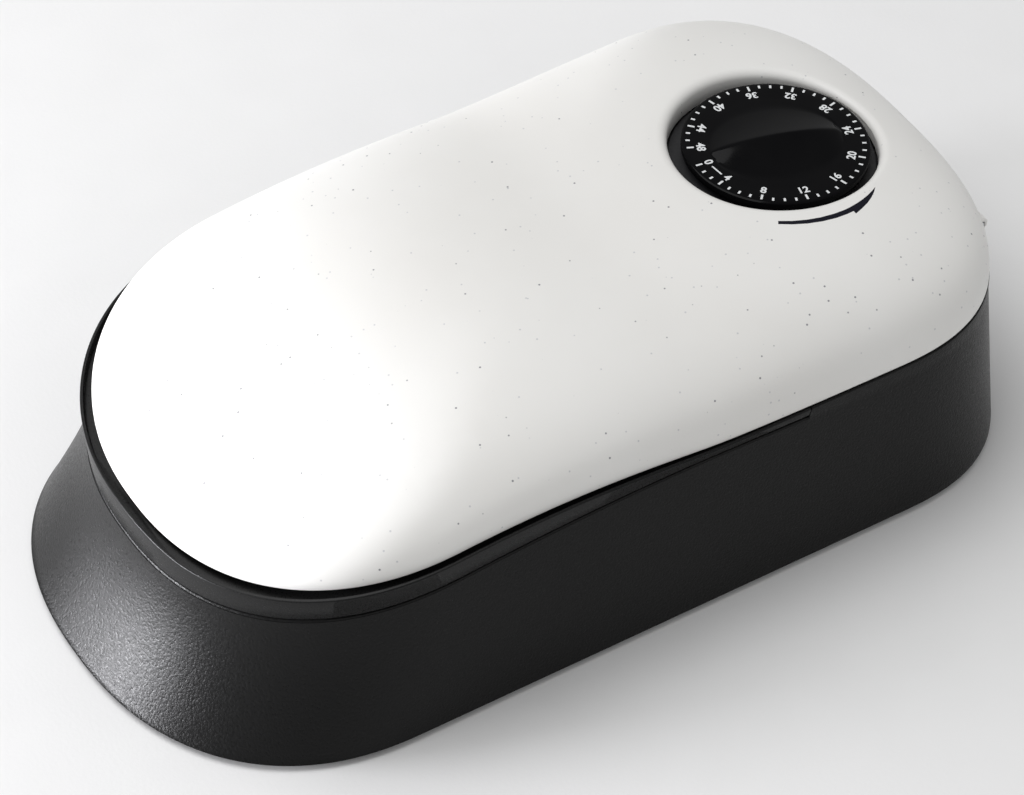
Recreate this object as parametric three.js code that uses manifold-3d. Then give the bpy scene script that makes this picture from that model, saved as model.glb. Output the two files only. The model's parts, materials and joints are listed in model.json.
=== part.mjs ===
// Automatic pet feeder for one meal, with a 48 hour timer dial in its lid.
// Millimetres, +Z up. X is across, -Y is the food end, +Y the hinge end.
// The origin is on the table, under the middle of the base.
import * as THREE from 'three';
import { mergeVertices } from 'three/addons/utils/BufferGeometryUtils.js';
import Module from 'manifold-3d';

const wasm = await Module();
wasm.setup();

// ---- driving dimensions -------------------------------------------------
const LENGTH = 265; // base, front tip to rear tip
const WIDTH = 146; // base, at the table
const FOOT = 1.5; // how far the rubber feet stand proud
const WALL = 2.4; // moulded wall thickness
const GAP = 0.3; // running gap between neighbouring pieces
const EDGE_REAR = 53 + FOOT; // parting line height at the hinge end
const EDGE_FRONT = 45.1 + FOOT; // and at the front tip
const EDGE_ARCH = 6.6; // rise of the parting line between the two
const SEAM_REAR = 48.9 + FOOT; // joint between bowl band and base, at mid length
const SEAM_FRONT = 35.7 + FOOT;
const SEAM_ARCH = 1.8;
const BEND_Y = 21.2; // where the parting line starts to curve forward
const BEND_RUN = 23.6; // how gently the front half's differences fade in
const BEND_EASE = 0.08;
const RIM_DIP = 1.8; // how far the bowl's shelf sinks behind its lip at the front
const RIM_STEP = 2; // how far that lip stands out from the lid's edge
const LIP = 1.2; // its width
const WAIST = 2.7; // how far the lid stands in from the base's foot at each side
const NOTCH_Y = 50; // rear end of the bowl band
const BASE_FRONT = -LENGTH / 2;
const BASE_REAR = LENGTH / 2;
const LID_FRONT = BASE_FRONT + 21.4;
const LID_REAR = BASE_REAR - 2.7;
const SEAM_TIP = BASE_FRONT + 18.3;
const ROOF_REAR = 28.5; // rise of the roof above the parting line
const ROOF_FRONT = 13.1;
const ROOF_CROWN = 2.5;
const WELL_FLOOR = 8; // underside of the bowl well
const WELL_INSET = 7; // from the seam outline
const BOWL_FLOOR = 12;
const BOWL_WALL = 2.2;
const BOWL_INSET = 10.2; // upper edge of the tray, from the seam outline
const BOWL_REAR = 36; // rear wall of the bowl's cavity
const WELL_REAR = BOWL_REAR + 4.4;
const DECK = 44; // floor of the tray behind the bowl
const FOOT_R = 7;
const HINGE_Y = 125.6;
const HINGE_Z = EDGE_REAR + 2;
const KNUCKLE_R = 2;
const PIN_R = 0.8;
const SWING_R = 5.15; // room for the lid's lower rear edge as it swings under the axis
const BASE_KNUCKLE = [28, 32]; // distances from the middle plane
const LID_KNUCKLE = [34.5, 38.5];
const SPRING_SPAN = [18.5, 26];
const DIAL_Y = 84.6;
const DIAL_Z = 75 + FOOT;
const DIAL_TILT = THREE.MathUtils.degToRad(3.9); // leans towards the hinge
const DIAL_R = 25.4;
const WINDOW_R = 28.4; // round well in the lid, around the dial
const WINDOW_SHIFT = -0.9; // of the well's middle from the dial's axis, along Y
const WINDOW_WALL = 2;
const GRIP_ANGLE = THREE.MathUtils.degToRad(76.5);
const SHAFT_R = 3;
const ARBOR_R = 0.8;
const MODULE = 0.75; // of all the gear teeth
const PINION_TEETH = 8;
const WHEEL_TEETH = 26;
const DIAL_TEETH = 40;
const CASE = {
  left: -45, right: 33, front: -29.5, rear: 26, top: -6.5, bottom: -22.5, wall: 1.5,
};
const BAY_X = -28; // partition between battery bay and movement

// ---- materials ------------------------------------------------------------
const finish = (color, roughness, metalness = 0) =>
  new THREE.MeshStandardMaterial({ color, roughness, metalness });
const LID_WHITE = finish(0xe9e8e4, 0.42);
const LINER_GREY = finish(0xcfcfcb, 0.5);
const BASE_BLACK = finish(0x2e2e31, 0.55);
const BOWL_BLACK = finish(0x343437, 0.45);
const DIAL_BLACK = finish(0x0d0d0f, 0.15);
const CASE_BLACK = finish(0x1a1a1c, 0.5);
const GEAR_WHITE = finish(0xe4e2d8, 0.4);
const RUBBER = finish(0x1d1d1d, 0.9);
const SEAL_GREY = finish(0x9c9c9a, 0.8);
const STEEL = finish(0xb8bbc0, 0.3, 1);
const COPPER = finish(0xb36a3a, 0.35, 1);
const BOARD_GREEN = finish(0x1f6b3a, 0.5);
const CELL_GREY = finish(0x8f9499, 0.35, 0.6);

const feeder = new THREE.Group();
const timer = new THREE.Group(); // everything that leans with the dial
timer.position.set(0, DIAL_Y, DIAL_Z);
timer.rotation.x = -DIAL_TILT;
feeder.add(timer);

// ---- solids -----------------------------------------------------------------
function solid(geometry) {
  const bare = geometry.clone();
  bare.deleteAttribute('normal');
  bare.deleteAttribute('uv');
  const merged = mergeVertices(bare, 1e-4);
  return new wasm.Manifold(new wasm.Mesh({
    numProp: 3,
    vertProperties: new Float32Array(merged.attributes.position.array),
    triVerts: new Uint32Array(merged.index.array),
  }));
}

function geometryOf(manifold) {
  const mesh = manifold.getMesh();
  const geometry = new THREE.BufferGeometry();
  geometry.setAttribute('position', new THREE.BufferAttribute(mesh.vertProperties, 3));
  geometry.setIndex(new THREE.BufferAttribute(mesh.triVerts, 1));
  return geometry;
}

function place(name, shape, material, parent = feeder) {
  const geometry = shape.isBufferGeometry ? shape : geometryOf(shape);
  geometry.computeVertexNormals();
  const mesh = new THREE.Mesh(geometry, material);
  mesh.name = name;
  parent.add(mesh);
  return mesh;
}

function block(x0, x1, y0, y1, z0, z1) {
  const geometry = new THREE.BoxGeometry(x1 - x0, y1 - y0, z1 - z0);
  return solid(geometry.translate((x0 + x1) / 2, (y0 + y1) / 2, (z0 + z1) / 2));
}

function rodZ(radius, x, y, z0, z1, sides = 24) {
  const geometry = new THREE.CylinderGeometry(radius, radius, z1 - z0, sides);
  return solid(geometry.rotateX(Math.PI / 2).translate(x, y, (z0 + z1) / 2));
}

function rodX(radius, x0, x1, y, z, sides = 20) {
  const geometry = new THREE.CylinderGeometry(radius, radius, x1 - x0, sides);
  return solid(geometry.rotateZ(Math.PI / 2).translate((x0 + x1) / 2, y, z));
}

// A closed skin over a stack of rings that all have the same number of points.
function skin(rings) {
  const count = rings[0].length;
  const points = rings.flat();
  const triangles = [];
  for (let level = 0; level < rings.length - 1; level++) {
    for (let i = 0; i < count; i++) {
      const a = level * count + i;
      const b = level * count + (i + 1) % count;
      triangles.push(a, b, b + count, a, b + count, a + count);
    }
  }
  // Each cap is ruled straight across, from a point to its mirror image.
  const cap = (level, up) => {
    for (let i = 0; i < count / 2; i++) {
      const corners = [i, i + 1, (count - i - 1) % count, (count - i) % count];
      const [a, b, c, d] = corners.map((corner) => level * count + corner);
      if (b !== c) triangles.push(...(up ? [a, b, c] : [a, c, b]));
      if (d !== a) triangles.push(...(up ? [a, c, d] : [a, d, c]));
    }
  };
  cap(0, false);
  cap(rings.length - 1, true);
  const geometry = new THREE.BufferGeometry().setFromPoints(points);
  return solid(geometry.setIndex(triangles));
}

// ---- the feeder's outlines ---------------------------------------------------
const END_STEPS = 10; // points on each quarter of a round end
const SIDE_STEPS = 4; // points along each straight side

const fade = (y) => 1 / (1 + Math.exp(-(y - BEND_Y) / BEND_RUN)); // 0 at the front, 1 at the rear

// Half of an outline, from the front tip round the +X side to the rear tip.
function halfOutline({ front, rear, width, frontRun, rearRun, frontPower, rearPower }) {
  const points = [];
  for (let i = 0; i < END_STEPS; i++) {
    const angle = (i / END_STEPS) * Math.PI / 2;
    const x = Math.sin(angle) ** (2 / frontPower);
    points.push([x, front + frontRun * (1 - Math.cos(angle) ** (2 / frontPower))]);
  }
  for (let i = 0; i <= SIDE_STEPS; i++) {
    const share = i / SIDE_STEPS;
    points.push([1, (front + frontRun) * (1 - share) + (rear - rearRun) * share]);
  }
  for (let i = 1; i <= END_STEPS; i++) {
    const angle = (i / END_STEPS) * Math.PI / 2;
    const x = Math.cos(angle) ** (2 / rearPower);
    points.push([x, rear - rearRun * (1 - Math.sin(angle) ** (2 / rearPower))]);
  }
  return points.map(([x, y]) => [x * width(y), y]);
}

// The whole outline as points, anticlockwise from above, at the height z(y).
function ring(outline, z, inset = 0) {
  const half = halfOutline({
    ...outline,
    front: outline.front + inset,
    rear: outline.rear - inset,
    width: (y) => outline.width(y) - inset,
  });
  const mirrored = half.slice(1, -1).reverse().map(([x, y]) => [-x, y]);
  return [...half, ...mirrored].map(([x, y]) => new THREE.Vector3(x, y, z(y)));
}

const FOOTPRINT = {
  front: BASE_FRONT, rear: BASE_REAR, frontRun: 63.4, rearRun: 53.6,
  frontPower: 2.3, rearPower: 2.6, width: () => WIDTH / 2,
};
const SEAM = {
  front: SEAM_TIP, rear: LID_REAR, frontRun: 63.9, rearRun: 53.6,
  frontPower: 2.29, rearPower: 2.6, width: (y) => WIDTH / 2 - WAIST - 3.9 * (1 - fade(y)),
};
const LID_EDGE = {
  front: LID_FRONT, rear: LID_REAR, frontRun: 58.4, rearRun: 53.6,
  frontPower: 2.2, rearPower: 2.6, width: (y) => WIDTH / 2 - WAIST - 1.9 * (1 - fade(y)),
};
const RIM = {
  ...LID_EDGE, front: LID_FRONT - 1.5 * RIM_STEP, frontRun: 60.9, frontPower: 2.25,
  width: (y) => LID_EDGE.width(y) + 0.2 + RIM_STEP * (1 - fade(y)),
};

// How far a point is along the curved front stretch, easing in at BEND_Y.
function along(y, tip) {
  const share = (BEND_Y - y) / (BEND_Y - tip);
  return Math.min((share + Math.hypot(share, BEND_EASE)) / 2, 1);
}

function edgeHeight(y) {
  const t = along(y, LID_FRONT);
  return EDGE_REAR + (EDGE_FRONT - EDGE_REAR) * t + EDGE_ARCH * 4 * t * (1 - t);
}

function seamHeight(y) {
  const t = along(y, SEAM_TIP);
  return SEAM_REAR + (SEAM_FRONT - SEAM_REAR) * t + SEAM_ARCH * 4 * t * (1 - t);
}

const lipHeight = (y) => edgeHeight(y) - GAP;
const rimHeight = (y) => lipHeight(y) - RIM_DIP * (1 - fade(y));

// The rings of the skirt, from the table up to the seam: flared like a bell at the front.
function skirtRings(inset, levels) {
  const low = ring(FOOTPRINT, () => FOOT, inset);
  const high = ring(SEAM, seamHeight, inset);
  return levels.map((share) => low.map((point, i) => {
    const bell = (share + Math.sin(share * Math.PI / 2)) / 2;
    const flared = THREE.MathUtils.smoothstep(-point.y, 40, 105);
    const mixed = point.clone().lerp(high[i], share + (bell - share) * flared);
    mixed.z = point.z + (high[i].z - point.z) * share;
    return mixed;
  }));
}

// The base and the bowl's band together, up to the parting line.
function wallSolid(inset) {
  return skin([...skirtRings(inset, [0, 0.2, 0.4, 0.6, 0.8, 1]), ring(RIM, lipHeight, inset)]);
}

// Everything inside an outline, from a surface up to a level.
function above(surface, outline, inset, ceiling) {
  return skin([ring(outline, surface, inset), ring(outline, () => ceiling, inset)]);
}

// ---- base ----------------------------------------------------------------------
const bothSides = [['left', -1], ['right', 1]];
const FRONT_FEET = [[-38, -84], [38, -84]];
const REAR_FEET = [[-46, 98], [46, 98]];
const RIB_LOW = 24; // lower edge of the ribs under the deck
const fourFeet = [['front', FRONT_FEET], ['rear', REAR_FEET]].flatMap(([end, spots]) =>
  spots.map(([x, y], i) => [`foot_${end}_${bothSides[i][0]}`, x, y]));
const SKY = 120; // above everything
const SCREW_HOLE = 1.5;
const KEEPER = {
  half: 8, lip: 56, front: 59, rear: 69, top: 53, sheet: 1.6, screws: [-5, 5], screwY: 66,
};
const span = ([near, far], sign) => (sign > 0 ? [near, far] : [-far, -near]);
const grown = ([low, high], room) => [low - room, high + room];
const outside = wallSolid(0);
const withinWall = wallSolid(WALL / 2);
const bandCut = above(seamHeight, SEAM, -12, SKY)
  .intersect(block(-WIDTH, WIDTH, BASE_FRONT - 5, NOTCH_Y, 0, SKY));
const frontHalf = (rear) => block(-WIDTH, WIDTH, BASE_FRONT - 5, rear, -5, SKY);

function makeBase() {
  const under = skin([
    ring(FOOTPRINT, () => FOOT - 1, WALL),
    ...skirtRings(WALL, [0.02, 0.26, 0.5, 0.74, 0.98]),
    ring(SEAM, () => SKY, WALL),
  ]);
  const wellOuter = above(() => WELL_FLOOR, SEAM, WELL_INSET, SKY).intersect(frontHalf(WELL_REAR));
  const wellInner = above(() => WELL_FLOOR + WALL, SEAM, WELL_INSET + WALL, SKY)
    .intersect(frontHalf(WELL_REAR - WALL));
  const ledge = skin([ring(SEAM, (y) => seamHeight(y) - WALL), ring(SEAM, seamHeight)])
    .intersect(frontHalf(WELL_REAR));
  const deck = block(-WIDTH, WIDTH, WELL_REAR - WALL, BASE_REAR, DECK - WALL, DECK);
  const lower = block(-WIDTH, WIDTH, BASE_FRONT - 5, BASE_REAR + 5, -5, DECK);
  const wellShell = wellOuter.intersect(above(() => 0, SEAM, 0, SKY)
    .subtract(bandCut).add(lower));
  let inner = ledge.add(deck).add(wellShell);
  for (const [name, x, y] of fourFeet) {
    const rear = name.includes('rear');
    const bossTop = rear ? DECK - 1 : WELL_FLOOR + 1;
    inner = inner.add(rodZ(FOOT_R + 2, x, y, FOOT + 1.5, bossTop, 20));
    if (rear) inner = inner.add(block(x - 1, x + 1, WELL_REAR - WALL, y, RIB_LOW, DECK - 1));
  }
  inner = inner.add(block(REAR_FEET[0][0], REAR_FEET[1][0], 97, 99, RIB_LOW, DECK - 1));
  let shell = outside.subtract(under).add(inner.intersect(withinWall));
  shell = shell.subtract(wellInner).subtract(bandCut);
  shell = shell.subtract(rodX(SWING_R, -LID_KNUCKLE[1], LID_KNUCKLE[1], HINGE_Y, HINGE_Z, 40));
  for (const [, sign] of bothSides) {
    const [x0, x1] = span(BASE_KNUCKLE, sign);
    shell = shell.add(block(x0, x1, HINGE_Y - 1.8, HINGE_Y + 1.6, HINGE_Z - 8, HINGE_Z));
    shell = shell.add(rodX(KNUCKLE_R, x0, x1, HINGE_Y, HINGE_Z));
    shell = shell.subtract(rodX(PIN_R + GAP, x0 - 1, x1 + 1, HINGE_Y, HINGE_Z, 12));
  }
  for (const x of KEEPER.screws) {
    shell = shell.subtract(rodZ(SCREW_HOLE, x, KEEPER.screwY, DECK - 5, DECK + 1, 12));
  }
  return shell;
}

function makeBowl() {
  const bandRoom = above((y) => seamHeight(y) + GAP, SEAM, -12, SKY);
  const band = outside.intersect(bandRoom.intersect(frontHalf(NOTCH_Y - GAP)))
    .subtract(above(rimHeight, RIM, LIP, SKY));
  const hollow = skin([
    ring(SEAM, (y) => seamHeight(y) - 5, WALL),
    ring(RIM, (y) => rimHeight(y) - BOWL_WALL, WALL),
  ]).intersect(frontHalf(NOTCH_Y - GAP - WALL));
  const body = skin([
    ring(SEAM, () => BOWL_FLOOR, 15), ring(SEAM, () => BOWL_FLOOR + 2.5, 12.4),
    ring(SEAM, (y) => rimHeight(y) - 1, BOWL_INSET),
  ]).intersect(frontHalf(BOWL_REAR));
  const cavity = skin([
    ring(SEAM, () => BOWL_FLOOR + BOWL_WALL, 17.2), ring(SEAM, () => BOWL_FLOOR + 4.2, 14.8),
    ring(SEAM, (y) => rimHeight(y) + 1, BOWL_INSET + BOWL_WALL), ring(SEAM, () => SKY, BOWL_INSET),
  ]).intersect(frontHalf(BOWL_REAR - BOWL_WALL));
  return band.subtract(hollow).add(body).subtract(cavity);
}

function makeKeeper() {
  const { half, lip, front, rear, top, sheet, screws, screwY } = KEEPER;
  const low = DECK + GAP;
  let keeper = block(-half, half, front, front + sheet, low, top)
    .add(block(-half, half, lip, front + 1, top - sheet, top))
    .add(block(-half, half, front, rear, low, low + sheet));
  for (const x of screws) keeper = keeper.subtract(rodZ(SCREW_HOLE, x, screwY, DECK, DECK + 3, 12));
  return keeper;
}

function screw(headRadius, shank, length) {
  const profile = [[0, 0], [shank, 0], [shank, length], [headRadius, length]];
  profile.push([headRadius, length + 1], [headRadius - 0.5, length + 1.5], [0, length + 1.5]);
  const points = profile.map(([x, y]) => new THREE.Vector2(x, y));
  return new THREE.LatheGeometry(points, 14).rotateX(Math.PI / 2);
}

function coil(radius, wire, length, turns) {
  class Helix extends THREE.Curve {
    getPoint(share, target = new THREE.Vector3()) {
      const angle = share * turns * 2 * Math.PI;
      return target.set(length * share, radius * Math.cos(angle), radius * Math.sin(angle));
    }
  }
  const section = new THREE.Shape();
  section.absarc(0, 0, wire, 0, 2 * Math.PI);
  return new THREE.ExtrudeGeometry(section, {
    steps: turns * 10, curveSegments: 2, bevelEnabled: false, extrudePath: new Helix(),
  });
}

place('base_shell', makeBase(), BASE_BLACK);
place('food_bowl', makeBowl(), BOWL_BLACK);
place('latch_keeper', makeKeeper(), STEEL);
bothSides.forEach(([side, sign]) => {
  const keeperScrew = screw(2.6, 1.2, 4.5);
  const keeperScrewX = KEEPER.screws[sign > 0 ? 1 : 0];
  place(`keeper_screw_${side}`, keeperScrew, STEEL)
    .position.set(keeperScrewX, KEEPER.screwY, DECK - 2.3);
  const [pin0, pin1] = span([SPRING_SPAN[0] - 1, LID_KNUCKLE[1]], sign);
  place(`hinge_pin_${side}`, rodX(PIN_R, pin0, pin1, HINGE_Y, HINGE_Z, 12), STEEL);
  const [coil0, coil1] = span(SPRING_SPAN, sign);
  const spring = coil(1.35, 0.25, coil1 - coil0, 5);
  place(`lid_spring_${side}`, spring, STEEL).position.set(coil0, HINGE_Y, HINGE_Z);
});
fourFeet.forEach(([name, x, y]) => {
  const profile = [[0, 0], [FOOT_R - 0.4, 0], [FOOT_R, 0.5], [FOOT_R, 2.7], [0, 2.7]];
  const points = profile.map(([px, py]) => new THREE.Vector2(px, py));
  const pad = new THREE.LatheGeometry(points, 24).rotateX(Math.PI / 2);
  place(name, pad, RUBBER).position.set(x, y, 0);
});

// ---- lid ----------------------------------------------------------------------
const ROOF_POWER = 3.16; // plan fullness of the roof
const ROOF_ROUND = 2.72; // roundness of its shoulder
const LID_MIDDLE = (LID_FRONT + LID_REAR) / 2;

function roofRise(y, inset) {
  const t = (y - LID_FRONT) / (LID_REAR - LID_FRONT);
  return ROOF_FRONT + (ROOF_REAR - ROOF_FRONT) * t + ROOF_CROWN * 4 * t * (1 - t) - inset;
}

function lidSolid(inset, skirtDrop) {
  const foot = ring(LID_EDGE, edgeHeight, inset);
  const rings = [];
  if (skirtDrop > 0) rings.push(foot.map((p) => new THREE.Vector3(p.x, p.y, p.z - skirtDrop)));
  for (const degrees of [0, 4, 12, 22, 34, 47, 61, 76]) {
    const angle = THREE.MathUtils.degToRad(degrees);
    const share = Math.cos(angle) ** (2 / ROOF_POWER);
    const lift = Math.sin(angle) ** (2 / ROOF_ROUND);
    rings.push(foot.map((p) => {
      const y = LID_MIDDLE + (p.y - LID_MIDDLE) * share;
      return new THREE.Vector3(p.x * share, y, edgeHeight(y) + roofRise(y, inset) * lift);
    }));
  }
  return skin(rings);
}

function inTimer(manifold) {
  const matrix = new THREE.Matrix4().makeRotationX(-DIAL_TILT).setPosition(0, DIAL_Y, DIAL_Z);
  return manifold.transform(matrix.elements);
}

const linerPosts = [[-46, -52], [46, -52], [-54, 22], [54, 22]];
const POST_R = 3.6;
const caseScrews = [['front', -19], ['rear', 17]];
const CASE_TAB_X = 37.5;
const LATCH = { front: -31.8, rear: -30.3 };

function makeLid() {
  const withinRoof = lidSolid(WALL / 2, 0);
  let shell = lidSolid(0, 0).subtract(lidSolid(WALL, 4));
  const well = inTimer(rodZ(WINDOW_R + WINDOW_WALL, 0, WINDOW_SHIFT, -5, 12, 48)).intersect(withinRoof);
  let posts = well;
  for (const [x, y] of linerPosts) {
    posts = posts.add(rodZ(POST_R, x, y, edgeHeight(y) + 4.4, SKY, 12).intersect(withinRoof));
  }
  for (const [, y] of caseScrews) {
    posts = posts.add(inTimer(rodZ(POST_R, CASE_TAB_X, y, -12, 20, 12)).intersect(withinRoof));
  }
  shell = shell.add(posts).subtract(inTimer(rodZ(WINDOW_R, 0, WINDOW_SHIFT, -8, 12, 48)));
  for (const [x, y] of linerPosts) {
    const low = edgeHeight(y) + 3;
    shell = shell.subtract(rodZ(SCREW_HOLE, x, y, low, low + 9, 12));
  }
  for (const [, y] of caseScrews) {
    shell = shell.subtract(inTimer(rodZ(SCREW_HOLE, CASE_TAB_X, y, -14, -5, 12)));
  }
  for (const [, sign] of bothSides) {
    const [b0, b1] = grown(span(BASE_KNUCKLE, sign), 0.4);
    const [s0, s1] = grown(span(SPRING_SPAN, sign), 0.4);
    const [x0, x1] = span(LID_KNUCKLE, sign);
    const [pin0, pin1] = grown(span([SPRING_SPAN[0] - 1, LID_KNUCKLE[1]], sign), 1);
    shell = shell.add(rodX(KNUCKLE_R, x0, x1, HINGE_Y, HINGE_Z));
    shell = shell.subtract(rodX(KNUCKLE_R + 0.4, b0, b1, HINGE_Y, HINGE_Z));
    shell = shell.subtract(block(b0, b1, HINGE_Y - 5, HINGE_Y + 6, HINGE_Z - 8, HINGE_Z));
    shell = shell.subtract(rodX(1.9, s0, s1, HINGE_Y, HINGE_Z, 12));
    shell = shell.subtract(rodX(PIN_R + GAP, pin0, pin1, HINGE_Y, HINGE_Z, 12));
  }
  return shell;
}

const LINER_LOW = 1.6; // above the parting line
const LINER_HIGH = 3.8;

function makeLiner() {
  let liner = skin([
    ring(LID_EDGE, (y) => edgeHeight(y) + LINER_LOW),
    ring(LID_EDGE, (y) => edgeHeight(y) + LINER_HIGH),
  ]).intersect(lidSolid(WALL + 0.4, 4));
  const room = 2 * GAP;
  liner = liner.subtract(inTimer(block(
    CASE.left - room, CASE.right + room, CASE.front - 6, CASE.rear + room, -40, 10,
  )));
  for (const [, y] of caseScrews) {
    liner = liner.subtract(inTimer(rodZ(5.4, CASE_TAB_X, y, -40, 10, 20)));
  }
  for (const [x, y] of linerPosts) liner = liner.subtract(rodZ(SCREW_HOLE, x, y, 40, SKY, 12));
  return liner.intersect(frontHalf(HINGE_Y - 3.6));
}

const SEAL_INSET = 6.5;
const SEAL_WIDTH = 4;

function makeSeal() {
  const seal = (inset, low, high) => skin([
    ring(LID_EDGE, (y) => rimHeight(y) + low, inset),
    ring(LID_EDGE, (y) => edgeHeight(y) + high, inset),
  ]);
  return seal(SEAL_INSET, GAP, LINER_LOW - GAP).intersect(frontHalf(BOWL_REAR + 6))
    .subtract(seal(SEAL_INSET + SEAL_WIDTH, -3, 5).intersect(frontHalf(BOWL_REAR + 6 - SEAL_WIDTH)));
}

place('lid_shell', makeLid(), LID_WHITE);
place('lid_liner', makeLiner(), LINER_GREY);
place('lid_seal', makeSeal(), SEAL_GREY);
linerPosts.forEach(([x, y], i) => {
  const linerScrew = screw(2.8, 1.2, 9).rotateX(Math.PI);
  place(`liner_screw_${i + 1}`, linerScrew, STEEL).position.set(x, y, edgeHeight(y) + 10.15);
});

// ---- timer movement in the lid ----------------------------------------------------
function makeCase() {
  const { left, right, front, rear, top, bottom, wall } = CASE;
  let shell = block(left, right, front, rear, bottom, top);
  for (const [x0, x1] of [[left + wall, BAY_X - wall / 2], [BAY_X + wall / 2, right - wall]]) {
    shell = shell.subtract(block(x0, x1, front + wall, rear - wall, -40, top - wall));
  }
  shell = shell.add(rodZ(WINDOW_R - 0.6, 0, WINDOW_SHIFT, -6.9, -4.5, 40));
  for (const [, y] of caseScrews) {
    const tab = rodZ(4.6, CASE_TAB_X, y, -14, -12.3, 20);
    shell = shell.add(tab.add(block(right - 1, CASE_TAB_X, y - 4.6, y + 4.6, -14, -12.3)));
    shell = shell.subtract(rodZ(SCREW_HOLE, CASE_TAB_X, y, -20, -5, 12));
  }
  shell = shell.subtract(rodZ(SHAFT_R + 0.6, 0, 0, -12, 5, 20));
  return shell.subtract(block(-2.4, 2.4, front - 1, front + wall + 1, -40, -10.8));
}

// A gear of one or two toothed discs, standing on its own arbor.
function toothed(teeth, low, high, phase = 0) {
  const pitch = teeth * MODULE / 2;
  const root = pitch - 1.2 * MODULE;
  const tip = pitch + 0.8 * MODULE;
  const shape = new THREE.Shape();
  for (let i = 0; i < teeth; i++) {
    [[-0.3, root], [-0.11, tip], [0.11, tip], [0.3, root]].forEach(([offset, radius], k) => {
      const angle = (i + offset) * 2 * Math.PI / teeth + phase;
      const point = [radius * Math.cos(angle), radius * Math.sin(angle)];
      if (i === 0 && k === 0) shape.moveTo(...point);
      else shape.lineTo(...point);
    });
  }
  const disc = new THREE.ExtrudeGeometry(shape, { depth: high - low, bevelEnabled: false });
  return solid(disc.translate(0, 0, low));
}

const polar = (distance, degrees) => {
  const angle = THREE.MathUtils.degToRad(degrees);
  return [distance * Math.cos(angle), distance * Math.sin(angle)];
};
const SECOND_ANGLE = -40;
const THIRD_ANGLE = 60;
const ROTOR_ANGLE = 75;
const STEP_DIAL = (DIAL_TEETH + PINION_TEETH) * MODULE / 2;
const STEP_WHEEL = (WHEEL_TEETH + PINION_TEETH) * MODULE / 2;
const second = polar(STEP_DIAL, SECOND_ANGLE);
const third = polar(STEP_WHEEL, THIRD_ANGLE).map((value, i) => value + second[i]);
const rotor = polar(STEP_WHEEL, ROTOR_ANGLE).map((value, i) => value + third[i]);

// Turns a driven pinion so that a gap of it faces the tooth phase of its driver.
function meshPhase(driverTeeth, driverPhase, teeth, degrees) {
  const line = THREE.MathUtils.degToRad(degrees);
  const driverShare = ((line - driverPhase) * driverTeeth / (2 * Math.PI)) % 1;
  return line + Math.PI + (driverShare + 0.5) * 2 * Math.PI / teeth;
}

function makeDial() {
  const edge = [[0, -2.5], [DIAL_R - 0.4, -2.5], [DIAL_R, -2.1], [DIAL_R, -0.5], [DIAL_R - 0.5, 0]];
  edge.push([20, 0], [19.2, -0.6], [0, -0.6]);
  const disc = solid(new THREE.LatheGeometry(edge.map(([x, y]) => new THREE.Vector2(x, y)), 48)
    .rotateX(Math.PI / 2));
  const grip = new THREE.Shape();
  grip.moveTo(-18.6, -1.5);
  grip.quadraticCurveTo(0, -6.5, 18.6, -1.5);
  grip.quadraticCurveTo(19.8, 0, 18.6, 1.5);
  grip.quadraticCurveTo(0, 6.5, -18.6, 1.5);
  grip.quadraticCurveTo(-19.8, 0, -18.6, -1.5);
  const wing = new THREE.ExtrudeGeometry(grip, {
    depth: 1.5, curveSegments: 4, bevelThickness: 1.4, bevelSize: 0.9, bevelOffset: -0.9, bevelSegments: 2,
  });
  return disc.add(solid(wing.rotateZ(GRIP_ANGLE).translate(0, 0, 0.3)));
}

function withBore(gear) {
  return gear.subtract(rodZ(SHAFT_R + GAP, 0, 0, -40, 10, 20));
}

function makeCam() {
  const lobe = block(-1.6, 1.6, -6, 0, -13.4, -11);
  return withBore(rodZ(4.6, 0, 0, -13.4, -11, 24).add(lobe));
}

function makeLatch() {
  const { front, rear } = LATCH;
  const bar = block(-1.8, 1.8, front, -9.6, -13, -11.4);
  const leg = block(-1.8, 1.8, front, rear, -29, -11.4);
  const toe = block(-1.8, 1.8, front, rear + 2.8, -29, -27.4);
  const lug = block(-8.5, 1.8, -15.6, -14, -13, -11.4);
  return bar.add(leg).add(toe).add(lug);
}

place('timer_case', makeCase(), CASE_BLACK, timer);
const caseCover = block(
  BAY_X + CASE.wall / 2 + GAP, CASE.right - CASE.wall - GAP,
  CASE.front + CASE.wall + GAP, CASE.rear - CASE.wall - GAP, CASE.bottom, CASE.bottom + 1.5,
).subtract(block(-2.4, 2.4, -40, CASE.front + 3, -40, 0));
place('timer_case_cover', caseCover, CASE_BLACK, timer);
place('battery_cover', block(
  CASE.left, BAY_X, CASE.front, CASE.rear, CASE.bottom - GAP - 1.5, CASE.bottom - GAP,
), CASE_BLACK, timer);
caseScrews.forEach(([end, y]) => {
  const caseScrew = screw(2.8, 1.2, 7).rotateX(Math.PI);
  place(`case_screw_${end}`, caseScrew, STEEL, timer).position.set(CASE_TAB_X, y, -7.3);
});

const cellX = (CASE.left + CASE.wall + BAY_X - CASE.wall / 2) / 2;
const cellProfile = [[0, -25.2], [5, -25.2], [7, -24.6], [7, 23.2], [5, 23.8], [2.7, 23.8]];
cellProfile.push([2.7, 24.8], [0, 24.8]);
const cell = new THREE.LatheGeometry(cellProfile.map(([x, y]) => new THREE.Vector2(x, y)), 24);
place('battery_cell', cell, CELL_GREY, timer).position.set(cellX, -1.8, -15.3);
const CONTACT = 0.4; // thickness of its sheet
const contacts = [
  ['minus', CASE.front + CASE.wall + GAP], ['plus', CASE.rear - CASE.wall - GAP - CONTACT],
];
contacts.forEach(([pole, y]) => {
  const contact = block(cellX - 4, cellX + 4, y, y + CONTACT, -20, -10);
  place(`battery_contact_${pole}`, contact, STEEL, timer);
});

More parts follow.
